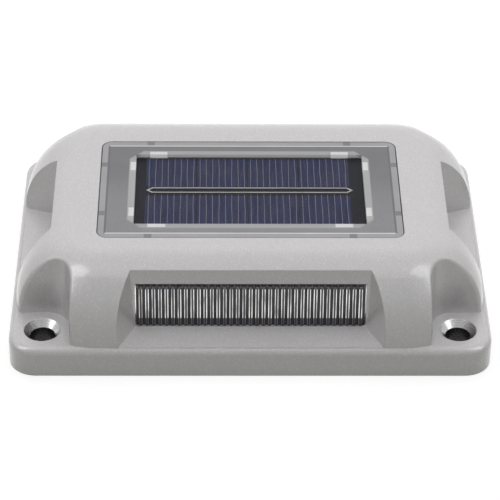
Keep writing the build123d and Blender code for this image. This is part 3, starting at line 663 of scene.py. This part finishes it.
    def within(self, graph: Graph, value: Socket, middle: float, half: float) -> Socket:
        """1 where a value lies within half a width of a middle value, with soft ends."""
        off = graph.math("ABSOLUTE", graph.math("SUBTRACT", value, middle))
        return graph.between(off, half + self.mask_softness, half - self.mask_softness)

    def pads(self, graph: Graph, along: Socket, across: Socket) -> Socket:
        """1 over the white pads that stand between the board and the sheet, two on each side.

        Args:
            graph: The material's graph.
            along: Distance from the middle along the length.
            across: Distance from the middle along the width.

        Returns:
            The mask.
        """
        half = self.pad_width / 2
        at_end = self.within(graph, along, self.board_long + self.pad_gap + half, half)
        by_end = self.within(graph, across, self.board_wide - self.pad_from_side, self.end_pad / 2)
        at_side = self.within(graph, across, self.board_wide + self.pad_gap + half, half)
        by_side = self.within(graph, along, self.board_long - self.pad_from_end, self.side_pad / 2)
        ends = graph.math("MULTIPLY", at_end, by_end)
        return graph.math("MAXIMUM", ends, graph.math("MULTIPLY", at_side, by_side))

    def notches(self, graph: Graph, along: Socket, across: Socket, on_end: Socket) -> Socket:
        """1 at the notches in the sheet's edge.

        Args:
            graph: The material's graph.
            along: Distance from the middle along the length.
            across: Distance from the middle along the width.
            on_end: 1 on the sheet's short sides.

        Returns:
            The mask.
        """
        half = self.notch_width / 2
        by_side = self.within(graph, along, self.half_long - self.notch_from_end, half)
        by_end = self.within(graph, across, self.half_wide - self.notch_from_side, half)
        on_side = graph.math("SUBTRACT", 1.0, on_end)
        side_notches = graph.math("MULTIPLY", by_side, on_side)
        return graph.math("MAXIMUM", side_notches, graph.math("MULTIPLY", by_end, on_end))

    def beyond_well(self, graph: Graph, along: Socket, across: Socket) -> Socket:
        """How far a point lies outside the well's outline, which has cut corners.

        Args:
            graph: The material's graph.
            along: Distance from the middle along the length.
            across: Distance from the middle along the width.

        Returns:
            The distance, less than 0 inside.
        """
        beyond_long = graph.math("SUBTRACT", along, self.well_long)
        beyond_wide = graph.math("SUBTRACT", across, self.well_wide)
        cut = graph.math("ADD", graph.math("ADD", beyond_long, beyond_wide), self.well_corner)
        beyond_cut = graph.math("MULTIPLY", cut, math.sqrt(0.5))
        return graph.math("MAXIMUM", graph.math("MAXIMUM", beyond_long, beyond_wide), beyond_cut)

    def beyond_board(self, graph: Graph, along: Socket, across: Socket) -> Socket:
        """How far a point lies outside the board's plain oblong, less than 0 inside."""
        beyond_long = graph.math("SUBTRACT", along, self.board_long)
        return graph.math("MAXIMUM", beyond_long, graph.math("SUBTRACT", across, self.board_wide))


@dataclass(frozen=True)
class SolarCell:
    """Dark blue solar cell under a clear resin, with slow changes of blue over it."""

    blue: Colour = (0.030, 0.037, 0.088)
    violet: Colour = (0.040, 0.042, 0.082)

    def material(self, effects: Effects) -> Material:
        """Builds the finish.

        Args:
            effects: Shared shader groups.

        Returns:
            The material.
        """
        material, graph, shader = start_material("solar_cell")
        skin = graph.group(effects.skin, Grain_Size=0.5 * MM, Patch_Size=7 * MM)
        streaks = graph.noise(0.7 * MM, 2.0, graph.stretched((1.0, 0.08, 1.0)))
        tone = graph.mix(skin.outputs["Patches"], self.blue, self.violet)
        dark = tuple(part * 0.72 for part in self.blue)
        graph.feed(shader["Base Color"], graph.mix(graph.between(streaks, 0.35, 0.7), tone, dark))
        graph.feed(shader["Roughness"], graph.spread(skin.outputs["Grain"], 0.38, 0.46))
        shader["Specular IOR Level"].default_value = 0.12
        graph.feed(shader["Normal"], graph.bump(skin.outputs["Grain"], 0.001 * MM))
        return material


@dataclass(frozen=True)
class RibbedPlastic:
    """Clear ribbed lens: each rib carries two bright lines painted on as reflections of the lamps, which also
    glow as painted light, and is dark between them.
    """

    side: Side
    foot: float
    top: float
    # Colour of the painted reflections on the ribs.
    bright: Colour = (0.92, 0.91, 0.90)
    dark: Colour = (0.020, 0.020, 0.032)
    middle: Colour = (0.085, 0.085, 0.100)
    rim: Colour = (0.24, 0.24, 0.28)
    pitch: float = 2.0 * MM
    line_place: float = 0.21
    line_half: float = 0.085
    rim_top: float = 0.6 * MM
    rim_foot: float = 1.7 * MM
    shadow_height: float = 3.1 * MM
    shadow_softness: float = 0.3 * MM
    glow: float = 0.95

    def material(self, effects: Effects) -> Material:
        """Builds the finish.

        Args:
            effects: Shared shader groups.

        Returns:
            The material.
        """
        material, graph, shader = start_material(f"{self.side.label}_ribbed_plastic")
        place = graph.axes(graph.place())
        rib = graph.group(effects.repeat, Along=place[self.side.across], Pitch=self.pitch)
        skin = graph.group(effects.skin, Grain_Size=0.5 * MM, Patch_Size=6 * MM)
        off = rib.outputs["Off"]
        # Painted reflections: two bright lines on the shoulders of each rib.
        from_line = graph.math("ABSOLUTE", graph.math("SUBTRACT", off, self.line_place))
        line = graph.between(from_line, self.line_half, self.line_half * 0.35)
        uneven = graph.noise(1.1 * MM, 2.0, graph.stretched((1.0, 1.0, 0.12)))
        highlight_share = graph.math("MULTIPLY", line, graph.between(uneven, 0.30, 0.62, 0.35, 1.0))
        chance = graph.between(rib.outputs["Chance"], 0.0, 1.0, 0.75, 1.0)
        highlight_share = graph.math("MULTIPLY", highlight_share, chance)
        height = place["Z"]
        shadow_top = self.foot + self.shadow_height
        shadow_low, shadow_high = shadow_top - self.shadow_softness, shadow_top + self.shadow_softness
        above = graph.between(height, shadow_low, shadow_high, 0.07, 1.0)
        lines_end = self.top - self.rim_foot
        below = graph.between(height, lines_end + 0.15 * MM, lines_end - 0.15 * MM)
        highlight_share = graph.math("MULTIPLY", graph.math("MULTIPLY", highlight_share, above), below)
        ground = graph.mix(graph.between(off, 0.30, 0.12), self.dark, self.middle)
        in_shadow = graph.between(height, shadow_high, shadow_low, 0.0, 0.75)
        ground = graph.mix(in_shadow, ground, self.dark)
        rim_end = self.top - self.rim_top
        under_line = graph.between(height, rim_end + 0.1 * MM, rim_end - 0.1 * MM)
        mottle = graph.between(graph.noise(0.8 * MM, 2.0), 0.35, 0.6, 0.25, 1.0)
        past_lines = graph.math("SUBTRACT", 1.0, below)
        on_rim = graph.math("MULTIPLY", past_lines, graph.math("MULTIPLY", under_line, mottle))
        ground = graph.mix(on_rim, ground, self.rim)
        graph.feed(shader["Base Color"], graph.mix(highlight_share, ground, self.bright))
        # The painted lines also glow, though the lens is no lamp: painted light.
        graph.feed(shader["Emission Color"], graph.mix(highlight_share, (0.0, 0.0, 0.0), self.bright))
        shader["Emission Strength"].default_value = self.glow
        graph.feed(shader["Roughness"], graph.spread(skin.outputs["Grain"], 0.12, 0.20))
        graph.feed(shader["Normal"], graph.bump(skin.outputs["Grain"], 0.002 * MM))
        return material


@dataclass(frozen=True)
class BoardResist:
    """Circuit board under its resist, with the copper runs showing faintly through."""

    name: str
    colour: Colour
    trace: Colour
    trace_pitch: float = 1.6 * MM

    def material(self, effects: Effects) -> Material:
        """Builds the finish.

        Args:
            effects: Shared shader groups.

        Returns:
            The material.
        """
        material, graph, shader = start_material(self.name)
        skin = graph.group(effects.skin, Grain_Size=0.3 * MM, Patch_Size=6 * MM)
        place = graph.axes(graph.place())
        wander = graph.math("MULTIPLY", skin.outputs["Patches"], self.trace_pitch)
        along = graph.math("ADD", place["X"], wander)
        run = graph.group(effects.repeat, Along=along, Pitch=self.trace_pitch)
        copper = graph.between(run.outputs["Off"], 0.16, 0.12)
        some = graph.between(run.outputs["Chance"], 0.45, 0.55, 0.0, 0.7)
        shown = graph.math("MULTIPLY", copper, some)
        graph.feed(shader["Base Color"], graph.mix(shown, self.colour, self.trace))
        graph.feed(shader["Roughness"], graph.spread(skin.outputs["Grain"], 0.36, 0.46))
        shader["Specular IOR Level"].default_value = 0.15
        graph.feed(shader["Normal"], graph.bump(copper, 0.01 * MM))
        return material


def dress(nodes: Iterable[str], material: Material) -> None:
    """Gives CAD nodes a finish.

    Args:
        nodes: Names of the nodes.
        material: The finish.
    """
    for name in nodes:
        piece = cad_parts[name]
        piece.data.materials.clear()
        piece.data.materials.append(material)
        LOG.info("%s: finish %s", name, material.name)


def new_piece(
    name: str, points: list[Vector], faces: list[tuple[int, ...]], material: Material
) -> bpy.types.Object:
    """Makes a mesh piece and puts it in the scene.

    Args:
        name: Name of the piece.
        points: Corners in the light's frame.
        faces: Corner numbers of each face.
        material: Its finish.

    Returns:
        The new object.
    """
    mesh = bpy.data.meshes.new(name)
    mesh.from_pydata([tuple(point) for point in points], [], faces)
    mesh.validate()
    mesh.materials.append(material)
    piece = bpy.data.objects.new(name, mesh)
    bpy.context.scene.collection.objects.link(piece)
    LOG.info("%s: %d points", name, len(points))
    return piece


@dataclass
class Housing:
    """Cast housing, which carries everything else."""

    effects: Effects
    finish: CastPaint = CastPaint()

    def build(self) -> None:
        """Dresses the casting."""
        dress(["housing"], self.finish.material(self.effects))


@dataclass
class SolarWindow:
    """Clear window with the solar board, its tray and the printed lines of the cells under it."""

    effects: Effects
    cells_long: int = 4
    cells_wide: int = 2
    lines_per_cell: int = 8
    well_gap: float = 2.3 * MM
    line_width: float = 0.15 * MM
    line_rise: float = 0.02 * MM
    line_steps: int = 10
    wave: float = 0.06 * MM
    end_gap: float = 0.35 * MM
    row_step: int = 37

    def build(self) -> None:
        """Dresses the window's pieces and prints the lines on the cells."""
        effects = self.effects
        sheet_low, sheet_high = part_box("window_plate")
        board_low, board_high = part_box("solar_board")
        board_long = (board_high.x - board_low.x) / 2
        board_wide = (board_high.y - board_low.y) / 2
        sheet = ClearSheet(
            half_long=(sheet_high.x - sheet_low.x) / 2,
            half_wide=(sheet_high.y - sheet_low.y) / 2,
            well_long=board_long + self.well_gap,
            well_wide=board_wide + self.well_gap,
            board_long=board_long,
            board_wide=board_wide,
        )
        dress(["window_plate"], sheet.material(effects))
        gasket = Moulded("black_silicone", (0.03, 0.03, 0.032), roughness=0.6)
        dress(["window_gasket"], gasket.material(effects))
        tray = Moulded("frosted_tray", (0.42, 0.42, 0.43), Grain.SATIN, 0.45, 0.06, 0.25 * MM)
        dress(["panel_tray"], tray.material(effects))
        tape = Moulded("pale_tape", (0.42, 0.43, 0.43), Grain.SATIN, 0.5, 0.06)
        dress(["panel_tape"], tape.material(effects))
        spacer = Moulded("white_pad", (0.78, 0.79, 0.78), Grain.SATIN, 0.45, 0.04)
        dress(["window_spacers"], spacer.material(effects))
        board = BoardResist("black_resist", (0.010, 0.010, 0.014), (0.014, 0.014, 0.019))
        dress(["solar_board"], board.material(effects))
        dress(["solar_cells"], SolarCell().material(effects))
        ribbon = BareMetal("tinned_strip", (0.50, 0.50, 0.50), (0.05, 1.0, 1.0), 0.35)
        dress(["cell_ribbon"], ribbon.material(effects))
        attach(self.print_lines(), "light")

    def print_lines(self) -> bpy.types.Object:
        """Makes the thin silver lines that run across each cell, each a little wavy.

        Returns:
            One piece that holds all the lines.
        """
        low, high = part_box("solar_cells")
        pitch = (high.x - low.x) / (self.cells_long * self.lines_per_cell)
        ribbon_low, ribbon_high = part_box("cell_ribbon")
        middle = (low.y + high.y) / 2
        half_gap = (ribbon_high.y - ribbon_low.y) / 2 + self.end_gap
        points: list[Vector] = []
        faces: list[tuple[int, ...]] = []
        for row in range(self.cells_wide):
            ends = (low.y, middle - half_gap) if row == 0 else (middle + half_gap, high.y)
            for number in range(self.cells_long * self.lines_per_cell):
                centre = low.x + pitch * (number + 0.5)
                wave_number = number + self.row_step * row
                self.add_line(points, faces, centre, ends, high.z, wave_number)
        silver = BareMetal("printed_silver", (0.30, 0.275, 0.29), (1.0, 0.2, 1.0), 0.5)
        return new_piece("cell_lines", points, faces, silver.material(self.effects))

    def add_line(
        self,
        points: list[Vector],
        faces: list[tuple[int, ...]],
        centre: float,
        ends: tuple[float, float],
        level: float,
        number: int,
    ) -> None:
        """Adds one printed line as a low ridge.

        Args:
            points: Points so far, which grow.
            faces: Faces so far, which grow.
            centre: Where the line stands along the board.
            ends: Where it starts and ends across the board.
            level: Height of the cells' face.
            number: Number of the line, which sets its own wave.
        """
        start = len(points)
        for step in range(self.line_steps + 1):
            share = step / self.line_steps
            y = ends[0] + (ends[1] - ends[0]) * share
            swing = sum(
                size * math.sin(by_line * number + by_share * share)
                for size, by_line, by_share in LINE_WAVES
            )
            x = centre + self.wave * swing
            points.append(Vector((x - self.line_width / 2, y, level)))
            points.append(Vector((x, y, level + self.line_rise)))
            points.append(Vector((x + self.line_width / 2, y, level)))
        for step in range(self.line_steps):
            here = start + 3 * step
            faces.append((here, here + 1, here + 4, here + 3))
            faces.append((here + 1, here + 2, here + 5, here + 4))


@dataclass
class LightRow:
    """One side's ribbed lens."""

    side: Side
    effects: Effects
    flange: float = 2.2 * MM

    def build(self) -> None:
        """Dresses the lens of this side."""
        label = self.side.label
        low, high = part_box(f"{label}_lens")
        finish = RibbedPlastic(self.side, low.z + self.flange, high.z - self.flange)
        dress([f"{label}_lens"], finish.material(self.effects))


@dataclass
class Inside:
    """Everything that the housing closes in, and the plate with its button that closes it."""

    effects: Effects
    sides: tuple[Side, ...] = tuple(Side)

    def build(self) -> None:
        """Dresses the plate, the button, the boards, the battery and the leads."""
        for finish, nodes in self.finishes():
            dress(nodes, finish.material(self.effects))

    def of_each_side(self, piece: str) -> list[str]:
        """Names of one kind of piece on all four sides."""
        return [f"{side.label}_{piece}" for side in self.sides]

    def finishes(self) -> list[tuple[Union[Moulded, BareMetal, BoardResist], list[str]]]:
        """Lists each finish with the nodes that have it.

        Returns:
            Pairs of a finish and its nodes.
        """
        black = (0.018, 0.018, 0.019)
        upright = (1.0, 1.0, 0.05)
        each = self.of_each_side
        chips = ["battery_holder", "switch_body", "driver_chip", "chip_resistors"]
        screws = ["plate_screws", "carrier_screws", "control_screws"]
        rubber = ["power_button", "switch_plunger"]
        return [
            (Moulded("black_plate", (0.030, 0.030, 0.032), Grain.SPARK_ERODED, 0.55), ["base_plate"]),
            (Moulded("black_gasket", black, Grain.SATIN, 0.65), ["base_gasket"] + each("lens_gasket")),
            (Moulded("grey_rubber", (0.10, 0.10, 0.105), Grain.SATIN, 0.6), rubber),
            (Moulded("white_moulding", (0.72, 0.72, 0.70)), each("carrier") + ["board_connectors"]),
            (Moulded("black_moulding", black, Grain.SATIN, 0.45), chips),
            (Moulded("dark_ferrite", (0.06, 0.06, 0.065), Grain.SPARK_ERODED, 0.7), ["power_inductor"]),
            (Moulded("green_sleeve", (0.04, 0.20, 0.08), Grain.POLISHED, 0.25), ["battery_cell"]),
            (Moulded("yellow_phosphor", (0.80, 0.68, 0.22), Grain.SATIN, 0.5), each("leds")),
            (Moulded("red_insulation", (0.42, 0.02, 0.02), Grain.POLISHED, 0.4), ["battery_leads"]),
            (Moulded("black_insulation", black, Grain.POLISHED, 0.4), ["solar_leads"]),
            (Moulded("grey_insulation", (0.20, 0.20, 0.21), Grain.POLISHED, 0.4), each("light_lead")),
            (BareMetal("stainless_steel", (0.62, 0.61, 0.59)), screws),
            (BareMetal("nickel_plate", (0.66, 0.62, 0.56), upright), ["battery_contacts"]),
            (BareMetal("drawn_can", (0.72, 0.72, 0.73), upright, 0.25), ["filter_capacitor"]),
            (BoardResist("green_resist", (0.010, 0.10, 0.035), (0.03, 0.20, 0.07)), ["control_board"]),
            (BoardResist("white_resist", (0.74, 0.74, 0.72), (0.66, 0.66, 0.64)), each("light_board")),
        ]


@dataclass
class Lamp:
    """A soft square or oblong lamp that points at the light."""

    name: str
    place: tuple[float, float, float]
    size: tuple[float, float]
    power: float
    colour: Colour = (1.0, 1.0, 1.0)
    target: tuple[float, float, float] = (0.0, 0.0, 0.01)
    mirrored: bool = True
    lights: bool = True

    def build(self) -> bpy.types.Object:
        """Puts the lamp in the scene.

        Returns:
            The lamp.
        """
        data = bpy.data.lights.new(self.name, "AREA")
        data.shape = "RECTANGLE"
        data.size, data.size_y = self.size
        data.energy = self.power
        data.color = self.colour
        lamp = bpy.data.objects.new(self.name, data)
        lamp.location = self.place
        aim = Vector(self.target) - Vector(self.place)
        lamp.rotation_euler = aim.to_track_quat("-Z", "Y").to_euler()
        lamp.visible_glossy = self.mirrored
        lamp.visible_diffuse = self.lights
        bpy.context.scene.collection.objects.link(lamp)
        LOG.info("%s: lamp of %.1f W", self.name, self.power)
        return lamp


@dataclass
class Studio:
    """Pale floor, soft lamps, plain surroundings and the camera."""

    floor_half: float = 2.0
    floor_colour: Colour = (0.42, 0.42, 0.42)
    bounce_colour: Colour = (0.30, 0.31, 0.27)
    floor_glow: float = 0.72
    sky_colour: Colour = (0.96, 0.97, 0.93)
    sky_strength: float = 0.11
    ceiling: float = 0.45
    camera_place: tuple[float, float, float] = (-10.7578 * MM, -645.0493 * MM, 479.7450 * MM)
    camera_pitch: float = 0.630215
    camera_yaw: float = -0.017164
    camera_roll: float = 0.011085
    focal_share: float = 2456.96 / 500
    lamps: tuple[Lamp, ...] = (
        Lamp("overhead_lamp", (0.0, 0.42, 1.05), (1.8, 1.5), 12.9, (1.0, 0.985, 1.0), mirrored=False),
        Lamp("front_lamp", (0.0, -0.42, 0.91), (0.8, 0.3), 2.0, mirrored=False),
        Lamp("left_card", (-0.56, -0.20, 0.67), (0.38, 0.85), 3.1, lights=False),
        Lamp("right_card", (0.56, -0.20, 0.67), (0.38, 0.85), 2.7, lights=False),
    )

    def build(self) -> None:
        """Builds the floor, the surroundings, the lamps and the camera."""
        self.build_floor()
        self.build_sky()
        for lamp in self.lamps:
            lamp.build()
        self.build_camera()

    def seen_straight(self, graph: Graph) -> Socket:
        """1 for what the camera sees, directly or in a gloss or clear piece, and 0 for soft bounces.

        Args:
            graph: Graph of the floor's material or of the sky.

        Returns:
            The mask.
        """
        path = graph.add("ShaderNodeLightPath").outputs
        seen = graph.math("MAXIMUM", path["Is Camera Ray"], path["Is Glossy Ray"])
        return graph.math("MAXIMUM", seen, path["Is Transmission Ray"])

    def build_floor(self) -> None:
        """Lays the pale floor just under the light."""
        half = self.floor_half
        corners = [Vector((x * half, y * half, -0.05 * MM)) for x, y in ((-1, -1), (1, -1), (1, 1), (-1, 1))]
        material, graph, shader = start_material("pale_floor")
        seen = self.seen_straight(graph)
        graph.feed(shader["Base Color"], graph.mix(seen, self.bounce_colour, self.floor_colour))
        shader["Roughness"].default_value = 0.9
        shader["Specular IOR Level"].default_value = 0.0
        graph.feed(shader["Emission Color"], graph.mix(seen, (0.0, 0.0, 0.0), (1.0, 1.0, 1.0)))
        shader["Emission Strength"].default_value = self.floor_glow
        new_piece("floor", corners, [(0, 1, 2, 3)], material)

    def build_sky(self) -> None:
        """Sets plain surroundings: white to the eye, and a dim even light on the object."""
        world = bpy.data.worlds.new("surroundings")
        world.use_nodes = True
        bpy.context.scene.world = world
        graph = Graph(world.node_tree)
        sky = world.node_tree.nodes["Background"]
        seen = self.seen_straight(graph)
        graph.feed(sky.inputs["Color"], graph.mix(seen, self.sky_colour, (1.0, 1.0, 1.0)))
        rise = graph.axes(graph.add("ShaderNodeTexCoord").outputs["Generated"])["Z"]
        backdrop = graph.between(rise, 0.60, 0.85, 1.0, self.ceiling)
        span = graph.math("MULTIPLY", seen, graph.math("SUBTRACT", backdrop, self.sky_strength))
        graph.feed(sky.inputs["Strength"], graph.math("ADD", span, self.sky_strength))

    def build_camera(self) -> None:
        """Stands the camera where the photograph was taken from."""
        data = bpy.data.cameras.new("camera")
        data.sensor_width = 36.0
        data.lens = self.focal_share * data.sensor_width
        data.clip_start = 0.05
        data.clip_end = 20.0
        camera = bpy.data.objects.new("camera", data)
        turn = Matrix.Rotation(self.camera_yaw, 4, "Z")
        tilt = Matrix.Rotation(math.pi / 2 - self.camera_pitch, 4, "X")
        roll = Matrix.Rotation(self.camera_roll, 4, "Z")
        camera.matrix_world = Matrix.Translation(self.camera_place) @ turn @ tilt @ roll
        bpy.context.scene.collection.objects.link(camera)
        bpy.context.scene.camera = camera
        bpy.context.scene.view_settings.view_transform = "Standard"


def main() -> None:
    """Builds the light's looks and the studio round it."""
    logging.basicConfig(level=logging.INFO, format="%(name)s %(message)s")
    effects = Effects()
    Housing(effects).build()
    SolarWindow(effects).build()
    for side in Side:
        LightRow(side, effects).build()
    Inside(effects).build()
    Studio().build()


if __name__ == "__main__":
    main()
